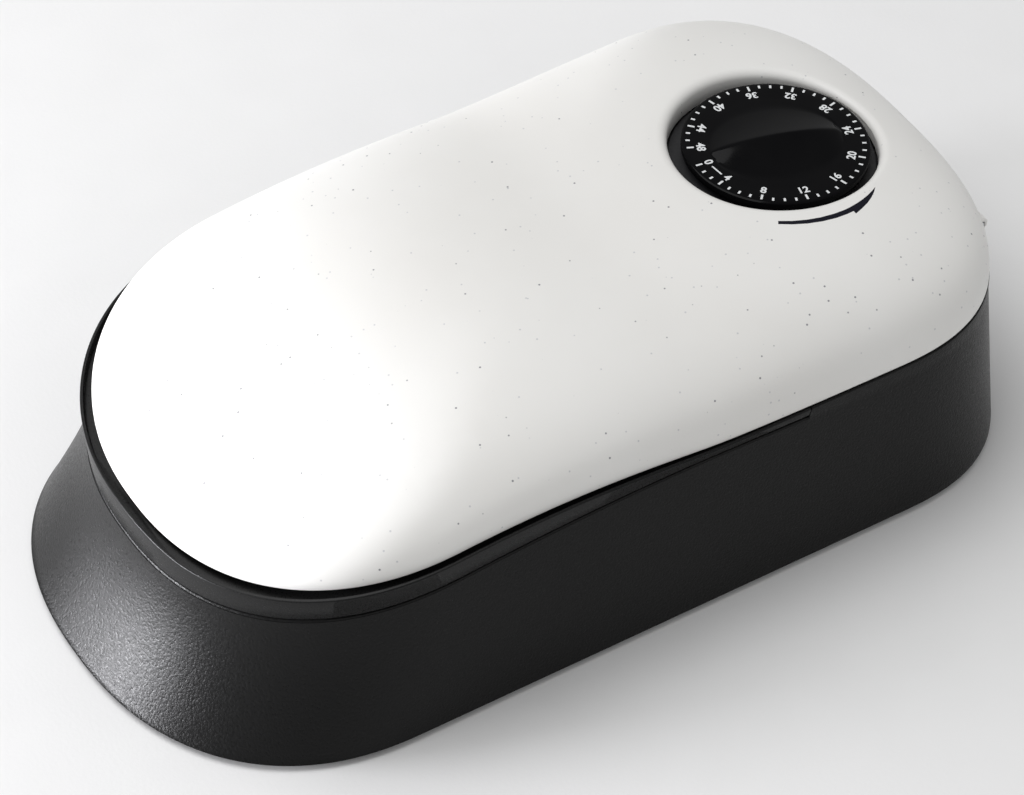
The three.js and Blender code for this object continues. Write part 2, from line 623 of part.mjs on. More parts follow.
const board = block(-26.5, 9, -25, 23, -19.2, -18);
place('circuit_board', board, BOARD_GREEN, timer);
const winding = new THREE.CylinderGeometry(2.7, 2.7, 15, 20).rotateZ(Math.PI / 2);
place('motor_coil', winding, COPPER, timer).position.set(5.5, 19.4, -13);
const stator = block(-3, rotor[0] + 6, 9.5, 23, -16.8, -16)
  .subtract(rodZ(4, rotor[0], rotor[1], -20, -10, 20));
place('motor_stator', stator, STEEL, timer);

const secondPhase = meshPhase(DIAL_TEETH, 0, PINION_TEETH, SECOND_ANGLE);
const thirdPhase = meshPhase(WHEEL_TEETH, 0, PINION_TEETH, THIRD_ANGLE);
const rotorPhase = meshPhase(WHEEL_TEETH, 0, PINION_TEETH, ROTOR_ANGLE);
place('time_dial', makeDial(), DIAL_BLACK, timer);
place('dial_shaft', rodZ(SHAFT_R, 0, 0, -17.2, -2.8, 20), STEEL, timer);
place('dial_wheel', withBore(toothed(DIAL_TEETH, -9.9, -8.7)), GEAR_WHITE, timer);
place('release_cam', makeCam(), GEAR_WHITE, timer);
const secondWheel = toothed(PINION_TEETH, -10.4, -8.4, secondPhase)
  .add(toothed(WHEEL_TEETH, -11.6, -10.4)).add(rodZ(ARBOR_R, 0, 0, -17.4, -8.3, 12));
place('second_wheel', secondWheel, GEAR_WHITE, timer).position.set(...second, 0);
const thirdWheel = toothed(PINION_TEETH, -12.6, -10.2, thirdPhase)
  .add(toothed(WHEEL_TEETH, -13.8, -12.6)).add(rodZ(ARBOR_R, 0, 0, -17.4, -8.3, 12));
place('third_wheel', thirdWheel, GEAR_WHITE, timer).position.set(...third, 0);
const rotorSolid = toothed(PINION_TEETH, -15, -12.4, rotorPhase)
  .add(rodZ(3.4, 0, 0, -17.6, -15, 20)).add(rodZ(ARBOR_R, 0, 0, -18.6, -8.3, 12));
place('motor_rotor', rotorSolid, STEEL, timer).position.set(...rotor, 0);

place('latch_slider', makeLatch(), GEAR_WHITE, timer);
const latchSpring = coil(1.5, 0.3, 9.6, 6).rotateZ(Math.PI / 2);
place('latch_spring', latchSpring, STEEL, timer).position.set(-6, -26, -12.2);

export default feeder;
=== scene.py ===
"""Looks of a one-meal automatic pet feeder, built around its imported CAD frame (Blender 4.5).

Shapes are made in millimetres, +Z up: X is across, -Y is the food end, +Y the hinge end.
"""

import json
import math

import bmesh
import bpy
import numpy as np
from mathutils import Matrix, Vector


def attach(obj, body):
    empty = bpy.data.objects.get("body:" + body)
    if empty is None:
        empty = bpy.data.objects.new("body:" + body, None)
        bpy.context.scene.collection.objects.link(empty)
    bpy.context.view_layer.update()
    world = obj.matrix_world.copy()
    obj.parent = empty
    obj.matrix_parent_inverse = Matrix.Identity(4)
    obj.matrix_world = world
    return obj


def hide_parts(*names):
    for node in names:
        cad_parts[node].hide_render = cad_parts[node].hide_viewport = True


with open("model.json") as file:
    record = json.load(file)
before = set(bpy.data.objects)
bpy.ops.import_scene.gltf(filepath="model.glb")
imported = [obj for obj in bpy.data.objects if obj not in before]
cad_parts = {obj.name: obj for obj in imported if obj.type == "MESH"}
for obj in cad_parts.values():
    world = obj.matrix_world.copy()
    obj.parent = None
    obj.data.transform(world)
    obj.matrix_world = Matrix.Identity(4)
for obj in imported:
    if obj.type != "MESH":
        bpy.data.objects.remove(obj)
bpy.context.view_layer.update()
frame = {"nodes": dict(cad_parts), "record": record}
MM = 0.001

# ---- driving dimensions, as in the CAD --------------------------------------------------
LENGTH = 265.0
WIDTH = 146.0
FOOT = 1.5  # how far the rubber feet stand proud
WALL = 2.4
GAP = 0.3
EDGE_REAR = 54.5  # parting line height at the hinge end
EDGE_FRONT = 46.6
EDGE_ARCH = 6.6
SEAM_REAR = 50.4  # joint between bowl band and base
SEAM_FRONT = 37.2
SEAM_ARCH = 1.8
SEAM_EDGE = 0.7  # rounding of the two edges along it
BEND_Y = 21.2
BEND_RUN = 23.6
BEND_EASE = 0.08
RIM_DIP = 1.8  # how far the bowl's shelf sinks behind its lip at the front
RIM_STEP = 2.0  # how far that lip stands out from the lid's edge
LIP = 1.2  # width of the lip at its root, and at its top
LIP_TOP = 0.7
NOTCH_Y = 50.0
BASE_FRONT = -LENGTH / 2
BASE_REAR = LENGTH / 2
LID_FRONT = BASE_FRONT + 21.4
LID_REAR = BASE_REAR - 2.7
SEAM_TIP = BASE_FRONT + 18.3
ROOF_REAR = 28.5
ROOF_FRONT = 13.1
ROOF_CROWN = 2.5
ROOF_POWER = 3.16
ROOF_ROUND = 2.72
LID_MIDDLE = (LID_FRONT + LID_REAR) / 2
WELL_FLOOR = 8.0
WELL_INSET = 7.0
BOWL_FLOOR = 12.0
BOWL_WALL = 2.2
BOWL_INSET = 10.2
BOWL_REAR = 36.0
WELL_REAR = BOWL_REAR + 4.4
DECK = 44.0
FOOT_R = 7.0
FOOT_POST_R = FOOT_R + 2
RIB_HALF = 1.0
HINGE_Y = 125.6
HINGE_Z = EDGE_REAR + 2
KNUCKLE_R = 2.0
PIN_R = 0.8
SWING_R = 5.15
BASE_KNUCKLE = (28.0, 32.0)
LID_KNUCKLE = (34.5, 38.5)
ARM_SPAN = (-1.8, 1.6)  # of a base knuckle's arm, from the hinge line along Y
ARM_DROP = 8.0
KNUCKLE_CHAMFER = 0.4
KNUCKLE_ROOM = 0.4  # between a base knuckle and its slot in the lid
DIAL_Y = 84.6
DIAL_Z = 76.5
DIAL_TILT = math.radians(3.9)
DIAL_R = 25.4
WINDOW_R = 28.4
WINDOW_SHIFT = -0.9  # of the well's middle from the dial's axis, along Y
WINDOW_WALL = 2.0
WINDOW_FLOOR = -5.0  # lower end of the well's wall, in the timer's frame
FILLET = 2.9  # rounding of the roof into the well, in plan
FILLET_DROP = 2.6
GRIP_ANGLE = math.radians(76.5)
SKY = 120.0
FEET = ((-38.0, -84.0), (38.0, -84.0), (-46.0, 98.0), (46.0, 98.0))
RIB_LOW = 24.0
KEEPER_SCREWS = ((-5.0, 66.0), (5.0, 66.0))
SCREW_HOLE = 1.5
POST_R = 3.6
POST_RISE = 4.4  # lower end of a lid post, over the lid's edge
TAB_ROOM_R = 5.4  # of the liner's holes round the timer case's tabs
CASE = dict(left=-45.0, right=33.0, front=-29.5, rear=26.0)
CASE_TAB_X = 37.5
CASE_SCREWS = (-19.0, 17.0)
LINER_POSTS = ((-46.0, -52.0), (46.0, -52.0), (-54.0, 22.0), (54.0, 22.0))
LINER_LOW = 1.6
LINER_HIGH = 3.8
SEAL_INSET = 6.5
SEAL_WIDTH = 4.0
SEAL_CORNER = 8.0

END_STEPS = 72  # points on each quarter of a round end
SIDE_STEPS = 36  # points along each straight side
TIMER = Matrix.Translation((0, DIAL_Y, DIAL_Z)) @ Matrix.Rotation(-DIAL_TILT, 4, "X")


# ---- mesh helpers -----------------------------------------------------------------------
def shape(points, faces):
    """A mesh object, in millimetres."""
    mesh = bpy.data.meshes.new("shape")
    mesh.from_pydata(np.asarray(points, float).tolist(), [], faces)
    made = bpy.data.objects.new("shape", mesh)
    bpy.context.scene.collection.objects.link(made)
    return made


def skin(rings):
    """A closed skin over rings of equal length, each cap ruled straight across."""
    count = len(rings[0])
    faces = []
    for level in range(len(rings) - 1):
        for i in range(count):
            a = level * count + i
            b = level * count + (i + 1) % count
            faces.append((a, b, b + count, a + count))
    for level, up in ((0, False), (len(rings) - 1, True)):
        for i in range(count // 2):
            corners = (i, i + 1, (count - i - 1) % count, (count - i) % count)
            corners = list(dict.fromkeys(level * count + c for c in corners))
            faces.append(tuple(corners if up else corners[::-1]))
    return shape(np.concatenate(rings), faces)


def block(x0, x1, y0, y1, z0, z1):
    ring_of = lambda z: np.array([(x0, y0, z), (x1, y0, z), (x1, y1, z), (x0, y1, z)])
    points = np.concatenate([ring_of(z0), ring_of(z1)])
    sides = [(i, (i + 1) % 4, (i + 1) % 4 + 4, i + 4) for i in range(4)]
    return shape(points, [(3, 2, 1, 0), (4, 5, 6, 7)] + sides)


def lathe(profile, sides=64, centre=(0, 0), tilt=None):
    """A closed turned solid. The profile's (radius, height) points start and end on the axis."""
    inner = profile[1:-1]
    turn = np.linspace(0, 2 * math.pi, sides, endpoint=False)
    points = [(0, 0, profile[0][1])]
    for radius, height in inner:
        points += [(radius * math.cos(a), radius * math.sin(a), height) for a in turn]
    points.append((0, 0, profile[-1][1]))
    top = len(points) - 1
    faces = []
    for i in range(sides):
        j = (i + 1) % sides
        faces.append((0, 1 + j, 1 + i))
        for level in range(len(inner) - 1):
            a = 1 + level * sides
            faces.append((a + i, a + j, a + j + sides, a + i + sides))
        a = 1 + (len(inner) - 1) * sides
        faces.append((a + i, a + j, top))
    made = shape(np.array(points) + (centre[0], centre[1], 0), faces)
    if tilt is not None:
        made.data.transform(tilt)
    return made


def rod(radius, z0, z1, centre=(0, 0), sides=64, tilt=None):
    return lathe([(0, z0), (radius, z0), (radius, z1), (0, z1)], sides, centre, tilt)


def rod_x(radius, x0, x1, y, z, sides=48):
    turned = Matrix.Translation((0, y, z)) @ Matrix.Rotation(math.pi / 2, 4, "Y")
    return rod(radius, x0, x1, sides=sides, tilt=turned)


def settle(made):
    """Applies the modifiers."""
    bpy.context.view_layer.update()
    evaluated = made.evaluated_get(bpy.context.evaluated_depsgraph_get())
    mesh = bpy.data.meshes.new_from_object(evaluated)
    old = made.data
    made.modifiers.clear()
    made.data = mesh
    bpy.data.meshes.remove(old)
    return made


def carve(target, *steps):
    """Joins ('+'), cuts away ('-') or keeps only what is inside ('*') each other shape in turn."""
    kinds = {"+": "UNION", "-": "DIFFERENCE", "*": "INTERSECT"}
    for sign, tool in steps:
        modifier = target.modifiers.new("carve", "BOOLEAN")
        modifier.solver = "MANIFOLD"
        modifier.operation = kinds[sign]
        modifier.object = tool
        settle(target)
        bpy.data.objects.remove(tool)
    return target


def piece(made, name, material, body, replaced=(), smooth_to=35.0):
    """Turns a shape into a finished piece: metres, shading, material, and the body it rides on."""
    made.name = name
    made.data.name = name
    made.data.transform(Matrix.Scale(MM, 4))
    made.data.materials.clear()
    made.data.materials.append(material)
    made.data.shade_smooth()
    made.data.set_sharp_from_angle(angle=math.radians(smooth_to))
    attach(made, body)
    if replaced:
        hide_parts(*replaced)
    return made


# ---- outlines and surfaces ------------------------------------------------------------
def fade(y):
    """0 at the front, 1 at the rear."""
    return 1 / (1 + np.exp(-(y - BEND_Y) / BEND_RUN))


def smooth(low, high, value):
    share = np.clip((value - low) / (high - low), 0, 1)
    return share * share * (3 - 2 * share)


FOOTPRINT = dict(front=BASE_FRONT, rear=BASE_REAR, front_run=63.4, rear_run=53.6,
                 front_power=2.3, rear_power=2.6, width=lambda y: WIDTH / 2 + 0 * y)
SEAM = dict(front=SEAM_TIP, rear=LID_REAR, front_run=63.9, rear_run=53.6,
            front_power=2.29, rear_power=2.6,
            width=lambda y: WIDTH / 2 - 2.7 - 3.9 * (1 - fade(y)))
LID_EDGE = dict(front=LID_FRONT, rear=LID_REAR, front_run=58.4, rear_run=53.6,
                front_power=2.2, rear_power=2.6,
                width=lambda y: WIDTH / 2 - 2.7 - 1.9 * (1 - fade(y)))
RIM = dict(LID_EDGE, front=LID_FRONT - 1.5 * RIM_STEP, front_run=60.9, front_power=2.25,
           width=lambda y: LID_EDGE["width"](y) + 0.2 + RIM_STEP * (1 - fade(y)))


def outline(plan, inset=0.0):
    """Plan points of an outline, anticlockwise from its front tip."""
    front = plan["front"] + inset
    rear = plan["rear"] - inset
    turn = np.linspace(0, math.pi / 2, END_STEPS + 1)
    power = 2 / plan["front_power"]
    x = np.sin(turn[:-1]) ** power
    y = front + plan["front_run"] * (1 - np.cos(turn[:-1]) ** power)
    share = np.linspace(0, 1, SIDE_STEPS + 1)
    x = np.append(x, np.ones(SIDE_STEPS + 1))
    start, end = front + plan["front_run"], rear - plan["rear_run"]
    y = np.append(y, start * (1 - share) + end * share)
    power = 2 / plan["rear_power"]
    x = np.append(x, np.clip(np.cos(turn[1:]), 0, 1) ** power)
    y = np.append(y, rear - plan["rear_run"] * (1 - np.sin(turn[1:]) ** power))
    x[-1] = 0
    x = x * (plan["width"](y) - inset)
    return np.append(x, -x[-2:0:-1]), np.append(y, y[-2:0:-1])


def ring(plan, height, inset=0.0):
    x, y = outline(plan, inset)
    return np.stack([x, y, height(y) + 0 * y], axis=1)


def along(y, tip):
    share = (BEND_Y - y) / (BEND_Y - tip)
    return np.minimum((share + np.hypot(share, BEND_EASE)) / 2, 1)


def edge_height(y):
    t = along(y, LID_FRONT)
    return EDGE_REAR + (EDGE_FRONT - EDGE_REAR) * t + EDGE_ARCH * 4 * t * (1 - t)


def seam_height(y):
    t = along(y, SEAM_TIP)
    return SEAM_REAR + (SEAM_FRONT - SEAM_REAR) * t + SEAM_ARCH * 4 * t * (1 - t)


def lip_height(y):
    return edge_height(y) - GAP


def rim_height(y):
    return lip_height(y) - RIM_DIP * (1 - fade(y))


def shifted(surface, rise):
    return lambda y: surface(y) + rise


def level(height):
    return lambda y: height


def skirt_ring(share, inset=0.0):
    """One ring of the skirt, from the table (share 0) to the seam (share 1)."""
    low = ring(FOOTPRINT, level(FOOT), inset)
    high = ring(SEAM, seam_height, inset)
    bell = (share + math.sin(share * math.pi / 2)) / 2
    flared = smooth(40, 105, -low[:, 1])[:, None]
    mixed = low + (high - low) * (share + (bell - share) * flared)
    mixed[:, 2] = low[:, 2] + (high[:, 2] - low[:, 2]) * share
    return mixed


def roof_rise(y, inset):
    t = (y - LID_FRONT) / (LID_REAR - LID_FRONT)
    return ROOF_FRONT + (ROOF_REAR - ROOF_FRONT) * t + ROOF_CROWN * 4 * t * (1 - t) - inset


def beyond(x, y, plan, inset):
    """Negative inside an outline, zero on it."""
    front = plan["front"] + inset + plan["front_run"]
    rear = plan["rear"] - inset - plan["rear_run"]
    across = np.abs(x) / (plan["width"](y) - inset)
    ahead = np.maximum(front - y, 0) / plan["front_run"]
    behind = np.maximum(y - rear, 0) / plan["rear_run"]
    power = np.where(y < front, plan["front_power"], plan["rear_power"])
    return across ** power + (ahead + behind) ** power - 1


def lid_height(x, y, inset=0.0):
    """Height of the lid's roof over a point in plan."""
    near, far = np.full_like(x, 0.02), np.full_like(x, 1.0)
    for _ in range(48):
        share = (near + far) / 2
        out = beyond(x / share, LID_MIDDLE + (y - LID_MIDDLE) / share, LID_EDGE, inset) > 0
        near, far = np.where(out, share, near), np.where(out, far, share)
    lift = np.clip(1 - share ** ROOF_POWER, 0, 1) ** (1 / ROOF_ROUND)
    return edge_height(y) + roof_rise(y, inset) * lift


def within(inset):
    """The outside of base and bowl band together, moved inwards."""
    rings = [skirt_ring(share, inset) for share in np.linspace(0, 1, 12)]
    return skin(rings + [ring(RIM, lip_height, inset)])


def rounded_outside():
    """The outside of base and bowl band, with its lower and upper edges rounded."""
    rings = []
    for inset, rise in ((0.9, 0.0), (0.35, 0.15), (0.08, 0.5)):
        low = skirt_ring(0, inset)
        low[:, 2] += rise
        rings.append(low)
    rings += [skirt_ring(share) for share in np.linspace(0.025, 1, 26)]
    for inset, drop in ((0, 0.4), (0.05, 0.18), (0.18, 0.05), (0.4, 0)):
        rings.append(ring(RIM, shifted(lip_height, -drop), inset))
    return skin(rings)


def over(surface, plan, inset, ceiling=SKY):
    """Everything inside an outline, from a surface up."""
    return skin([ring(plan, surface, inset), ring(plan, level(ceiling), inset)])


def over_rounded(surface, edge):
    """Everything above the seam. The surface turns by a small radius where it meets the wall."""
    rings = []
    for inset, share in ((0.8, 0.0), (0.4, 0.13), (0.13, 0.42), (0.0, 1.0), (-12, 1.0)):
        rings.append(ring(SEAM, shifted(surface, edge * share), inset))
    rings.append(ring(SEAM, level(SKY), -12))
    return skin(rings)


def front_half(rear):
    """Everything ahead of a plane across the part."""
    return block(-WIDTH, WIDTH, BASE_FRONT - 5, rear, -5, SKY)


def mirrored(span, sign):
    """A span of X on the right side, or on the left one."""
    return span if sign > 0 else (-span[1], -span[0])


# ---- materials ------------------------------------------------------------------------
def node(tree, kind, inputs=None, **settings):
    """A shader node. An input is a plain value, or an output of another node to link."""
    made = tree.nodes.new(kind)
    for key, value in settings.items():
        setattr(made, key, value)
    for key, value in (inputs or {}).items():
        if isinstance(value, bpy.types.NodeSocket):
            tree.links.new(value, made.inputs[key])
        else:
            made.inputs[key].default_value = value
    return made


class Finish:
    """A material under construction: its tree, its shader and its place coordinates."""

    def __init__(self, name, **settings):
        self.material = bpy.data.materials.new(name)
        self.material.use_nodes = True
        self.tree = self.material.node_tree
        self.shader = self.tree.nodes["Principled BSDF"]
        self.place = self.add("ShaderNodeTexCoord").outputs["Object"]
        for key, value in settings.items():
            self.shader.inputs[key.replace("_", " ")].default_value = value

    def add(self, kind, inputs=None, **settings):
        return node(self.tree, kind, inputs, **settings)

    def noise(self, per_metre, detail=2.0, roughness=0.5):
        made = self.add("ShaderNodeTexNoise", {
            "Vector": self.place, "Scale": per_metre, "Detail": detail, "Roughness": roughness})
        return made.outputs["Fac"]

    def spread(self, value, low, high, to_low=0.0, to_high=1.0):
        made = self.add("ShaderNodeMapRange", {
            "Value": value, "From Min": low, "From Max": high,
            "To Min": to_low, "To Max": to_high}, clamp=True)
        return made.outputs["Result"]

    def specks(self, per_metre, radius_share, soft):
        """1 in small round specks scattered through space, 0 between them."""
        made = self.add("ShaderNodeTexVoronoi", {"Vector": self.place, "Scale": per_metre})
        return self.spread(made.outputs["Distance"], radius_share, radius_share + soft, 1.0, 0.0)

    def blend(self, share, first, second):
        made = self.add("ShaderNodeMix", data_type="RGBA")
        for socket, value in ((0, share), (6, first), (7, second)):
            if isinstance(value, bpy.types.NodeSocket):
                self.tree.links.new(value, made.inputs[socket])
            else:
                made.inputs[socket].default_value = value
        return made.outputs[2]

    def colour(self, value):
        self.tree.links.new(value, self.shader.inputs["Base Color"])

    def roughness(self, value):
        self.tree.links.new(value, self.shader.inputs["Roughness"])

    def bump(self, height, distance, strength=1.0):
        made = self.add("ShaderNodeBump", {
            "Height": height, "Distance": distance, "Strength": strength})
        self.tree.links.new(made.outputs["Normal"], self.shader.inputs["Normal"])


def grey(value, alpha=1.0):
    return (value, value, value, alpha)


def plastic(name, colour, low, high, grain=900.0, depth=0.00002, vary=0.08):
    """Moulded plastic: fine grain in the height, wider cloudiness in colour and gloss."""
    finish = Finish(name)
    cloud = finish.noise(38.0, 3.0)
    darker = tuple(c * (1 - vary) for c in colour[:3]) + (1,)
    lighter = tuple(min(c * (1 + vary), 1) for c in colour[:3]) + (1,)
    finish.colour(finish.blend(finish.spread(cloud, 0.3, 0.7), darker, lighter))
    finish.roughness(finish.spread(finish.noise(grain * 0.6, 2.0), 0.3, 0.7, low, high))
    finish.bump(finish.noise(grain, 2.0), depth)
    return finish.material


def speckled_white():
    finish = Finish("lid_white", IOR=1.49)
    cloud = finish.spread(finish.noise(16.0, 3.0), 0.3, 0.7)
    ground = finish.blend(cloud, (0.80, 0.79, 0.765, 1), (0.84, 0.835, 0.815, 1))
    faint = finish.specks(260.0, 0.05, 0.04)
    ground = finish.blend(faint, ground, (0.60, 0.60, 0.61, 1))
    bold = finish.specks(185.0, 0.036, 0.03)
    ground = finish.blend(bold, ground, (0.22, 0.22, 0.24, 1))
    finish.colour(ground)
    finish.roughness(finish.spread(finish.noise(240.0, 3.0), 0.3, 0.7, 0.34, 0.46))
    finish.bump(finish.noise(1500.0, 2.0), 0.000012)
    return finish.material


def spark_black(name, base, low, high, grain, depth):
    """Dark spark-eroded plastic: a coarse grain that glitters where it meets the light."""
    finish = Finish(name, IOR=1.5, Specular_IOR_Level=0.17)
    cloud = finish.spread(finish.noise(22.0, 3.0), 0.3, 0.7)
    finish.colour(finish.blend(cloud, grey(base * 0.85), grey(base * 1.15)))
    bumps = finish.noise(grain, 3.0, 0.6)
    finish.roughness(finish.spread(bumps, 0.3, 0.7, low, high))
    finish.bump(bumps, depth)
    return finish.material


def gloss_black():
    finish = Finish("dial_black", IOR=1.5, Specular_IOR_Level=0.08)
    cloud = finish.spread(finish.noise(60.0, 4.0), 0.35, 0.75)
    finish.colour(finish.blend(cloud, (0.0015, 0.0015, 0.002, 1), (0.003, 0.003, 0.0035, 1)))
    finish.roughness(finish.spread(finish.noise(180.0, 4.0), 0.3, 0.8, 0.07, 0.16))
    finish.bump(finish.noise(90.0, 1.0), 0.00003)
    return finish.material


def metal(name, colour, low=0.22, high=0.38, stretch=60.0):
    finish = Finish(name, Metallic=1.0)
    brushed = finish.add("ShaderNodeMapping", {
        "Vector": finish.place, "Scale": (stretch, 2400.0, 2400.0)}).outputs["Vector"]
    lines = finish.add("ShaderNodeTexNoise", {"Vector": brushed, "Scale": 1.0, "Detail": 3.0})
    dark = tuple(c * 0.85 for c in colour[:3]) + (1,)
    finish.colour(finish.blend(lines.outputs["Fac"], dark, colour))
    finish.roughness(finish.spread(lines.outputs["Fac"], 0.3, 0.7, low, high))
    return finish.material


def ink(name, colour, gloss=0.5):
    finish = Finish(name, IOR=1.48, Specular_IOR_Level=gloss)
    patch = finish.spread(finish.noise(900.0, 3.0), 0.3, 0.7)
    finish.colour(finish.blend(patch, tuple(c * 0.88 for c in colour[:3]) + (1,), colour))
    finish.roughness(finish.spread(finish.noise(1500.0), 0.3, 0.7, 0.35, 0.5))
    return finish.material


LID_WHITE = speckled_white()
BASE_BLACK = spark_black("base_black", 0.005, 0.24, 0.44, 1350.0, 0.00014)
BOWL_BLACK = spark_black("bowl_black", 0.008, 0.24, 0.36, 1900.0, 0.00002)
DIAL_BLACK = gloss_black()
FINISHES = {
    "lid_white": LID_WHITE,
    "liner_grey": plastic("liner_grey", (0.58, 0.58, 0.565, 1), 0.4, 0.52),
    "base_black": BASE_BLACK,
    "bowl_black": BOWL_BLACK,
    "dial_black": DIAL_BLACK,
    "case_black": plastic("case_black", (0.018, 0.018, 0.02, 1), 0.42, 0.58, 1400.0, 0.00004),
    "gear_white": plastic("gear_white", (0.72, 0.70, 0.63, 1), 0.32, 0.44),
    "rubber": plastic("rubber", (0.02, 0.02, 0.02, 1), 0.75, 0.92, 1600.0, 0.00005),
    "seal_grey": plastic("seal_grey", (0.30, 0.30, 0.295, 1), 0.62, 0.78, 1200.0, 0.00003),
    "steel": metal("steel", (0.62, 0.63, 0.65, 1)),
    "copper": metal("copper", (0.72, 0.33, 0.16, 1), 0.25, 0.4, 2400.0),
    "board_green": plastic("board_green", (0.02, 0.13, 0.05, 1), 0.3, 0.45),
    "cell_grey": metal("cell_grey", (0.33, 0.35, 0.37, 1), 0.3, 0.4),
}
PRINT_WHITE = ink("print_white", (0.82, 0.84, 0.85, 1))
PRINT_NAVY = ink("print_navy", (0.002, 0.002, 0.009, 1), 0.2)


# ---- base -------------------------------------------------------------------------------
def base_shell():
    hollow = [ring(FOOTPRINT, level(FOOT - 1), WALL)]
    hollow += [skirt_ring(share, WALL) for share in np.linspace(0.02, 0.98, 14)]
    hollow.append(ring(SEAM, level(SKY), WALL))
    well = carve(over(level(WELL_FLOOR), SEAM, WELL_INSET), ("*", front_half(WELL_REAR)))
    low = block(-WIDTH, WIDTH, BASE_FRONT - 5, BASE_REAR + 5, -5, DECK)
    under_seam = carve(over(level(0), SEAM, 0), ("-", band_region(seam_height, -SEAM_EDGE)), ("+", low))
    ledge = skin([ring(SEAM, shifted(seam_height, -WALL)), ring(SEAM, shifted(seam_height, 1))])
    inner = carve(
        well, ("*", under_seam),
        ("+", carve(ledge, ("*", front_half(WELL_REAR)))),
        ("+", block(-WIDTH, WIDTH, WELL_REAR - WALL, BASE_REAR, DECK - WALL, DECK)))
    for x, y in FEET:
        top = DECK - 1 if y > 0 else WELL_FLOOR + 1
        carve(inner, ("+", rod(FOOT_POST_R, FOOT + 1.5, top, (x, y))))
        if y > 0:
            rib = block(x - RIB_HALF, x + RIB_HALF, WELL_REAR - WALL, y, RIB_LOW, DECK - 1)
            carve(inner, ("+", rib))
    (x0, y0), (x1, _) = FEET[2:]
    carve(inner, ("+", block(x0, x1, y0 - RIB_HALF, y0 + RIB_HALF, RIB_LOW, DECK - 1)))
    carve(inner, ("*", within(WALL / 2)))
    cavity = carve(over(level(WELL_FLOOR + WALL), SEAM, WELL_INSET + WALL),
                   ("*", front_half(WELL_REAR - WALL)))
    relief = rod_x(SWING_R, -LID_KNUCKLE[1], LID_KNUCKLE[1], HINGE_Y, HINGE_Z, 96)
    shell = carve(rounded_outside(), ("-", skin(hollow)), ("+", inner), ("-", cavity),
                  ("-", band_region(seam_height, -SEAM_EDGE)), ("-", relief))
    for sign in (-1, 1):
        x0, x1 = mirrored(BASE_KNUCKLE, sign)
        arm = block(x0, x1, HINGE_Y + ARM_SPAN[0], HINGE_Y + ARM_SPAN[1],
                    HINGE_Z - ARM_DROP, HINGE_Z)
        carve(shell, ("+", arm), ("+", rod_x(KNUCKLE_R, x0, x1, HINGE_Y, HINGE_Z)),
              ("-", rod_x(PIN_R + GAP, x0 - 1, x1 + 1, HINGE_Y, HINGE_Z)))
    for spot in KEEPER_SCREWS:
        carve(shell, ("-", rod(SCREW_HOLE, DECK - 5, DECK + 1, spot, 24)))
    return shell


def band_region(surface, edge, rear=NOTCH_Y):
    return carve(over_rounded(surface, edge), ("*", front_half(rear)))


def food_bowl():
    joint = shifted(seam_height, GAP)
    band = carve(rounded_outside(), ("*", band_region(joint, SEAM_EDGE, NOTCH_Y - GAP)),
                 ("-", skin([ring(RIM, rim_height, LIP), ring(RIM, lip_height, LIP_TOP),
                             ring(RIM, level(SKY), LIP_TOP)])))
    hollow = [ring(SEAM, shifted(seam_height, -5), WALL),
              ring(RIM, shifted(rim_height, -BOWL_WALL), WALL)]
    body = [ring(SEAM, level(BOWL_FLOOR + rise), inset) for rise, inset in
            ((0, 17.5), (0.4, 15.4), (1.3, 13.8), (2.8, 12.7), (5.0, 12.1))]
    body.append(ring(SEAM, shifted(rim_height, -1), BOWL_INSET))
    inside = BOWL_INSET + BOWL_WALL
    cavity = [ring(SEAM, level(BOWL_FLOOR + rise), inset) for rise, inset in
              ((2.2, 20.5), (2.4, 18.4), (3.1, 16.6), (4.6, 15.3), (7.0, 14.6))]
    cavity += [ring(SEAM, shifted(rim_height, -1.2), inside + 0.1),
               ring(SEAM, shifted(rim_height, -0.5), inside - 0.15),
               ring(SEAM, shifted(rim_height, 0.2), inside - 0.9), ring(SEAM, level(SKY), 10)]
    return carve(
        band, ("-", carve(skin(hollow), ("*", front_half(NOTCH_Y - GAP - WALL)))),
        ("+", carve(skin(body), ("*", front_half(BOWL_REAR)))),
        ("-", carve(skin(cavity), ("*", front_half(BOWL_REAR - BOWL_WALL)))))


# ---- lid ----------------------------------------------------------------------------------
def timer_point(x, y, w):
    """A point of the leaning timer's own frame, in the row frame."""
    c, s = math.cos(DIAL_TILT), math.sin(DIAL_TILT)
    return np.stack([x + 0 * w, DIAL_Y + y * c + w * s, DIAL_Z - y * s + w * c], axis=-1)


def roof_over_timer(radius, turn, inset=0.0):
    """How high the roof is over the dial's plane, at a distance from the dial's axis."""
    x, y = radius * np.cos(turn), WINDOW_SHIFT + radius * np.sin(turn)
    w = np.zeros_like(turn)
    for _ in range(6):
        point = timer_point(x, y, w)
        height = lid_height(point[..., 0], point[..., 1], inset)
        w = w + (height - point[..., 2]) / math.cos(DIAL_TILT)
    return w


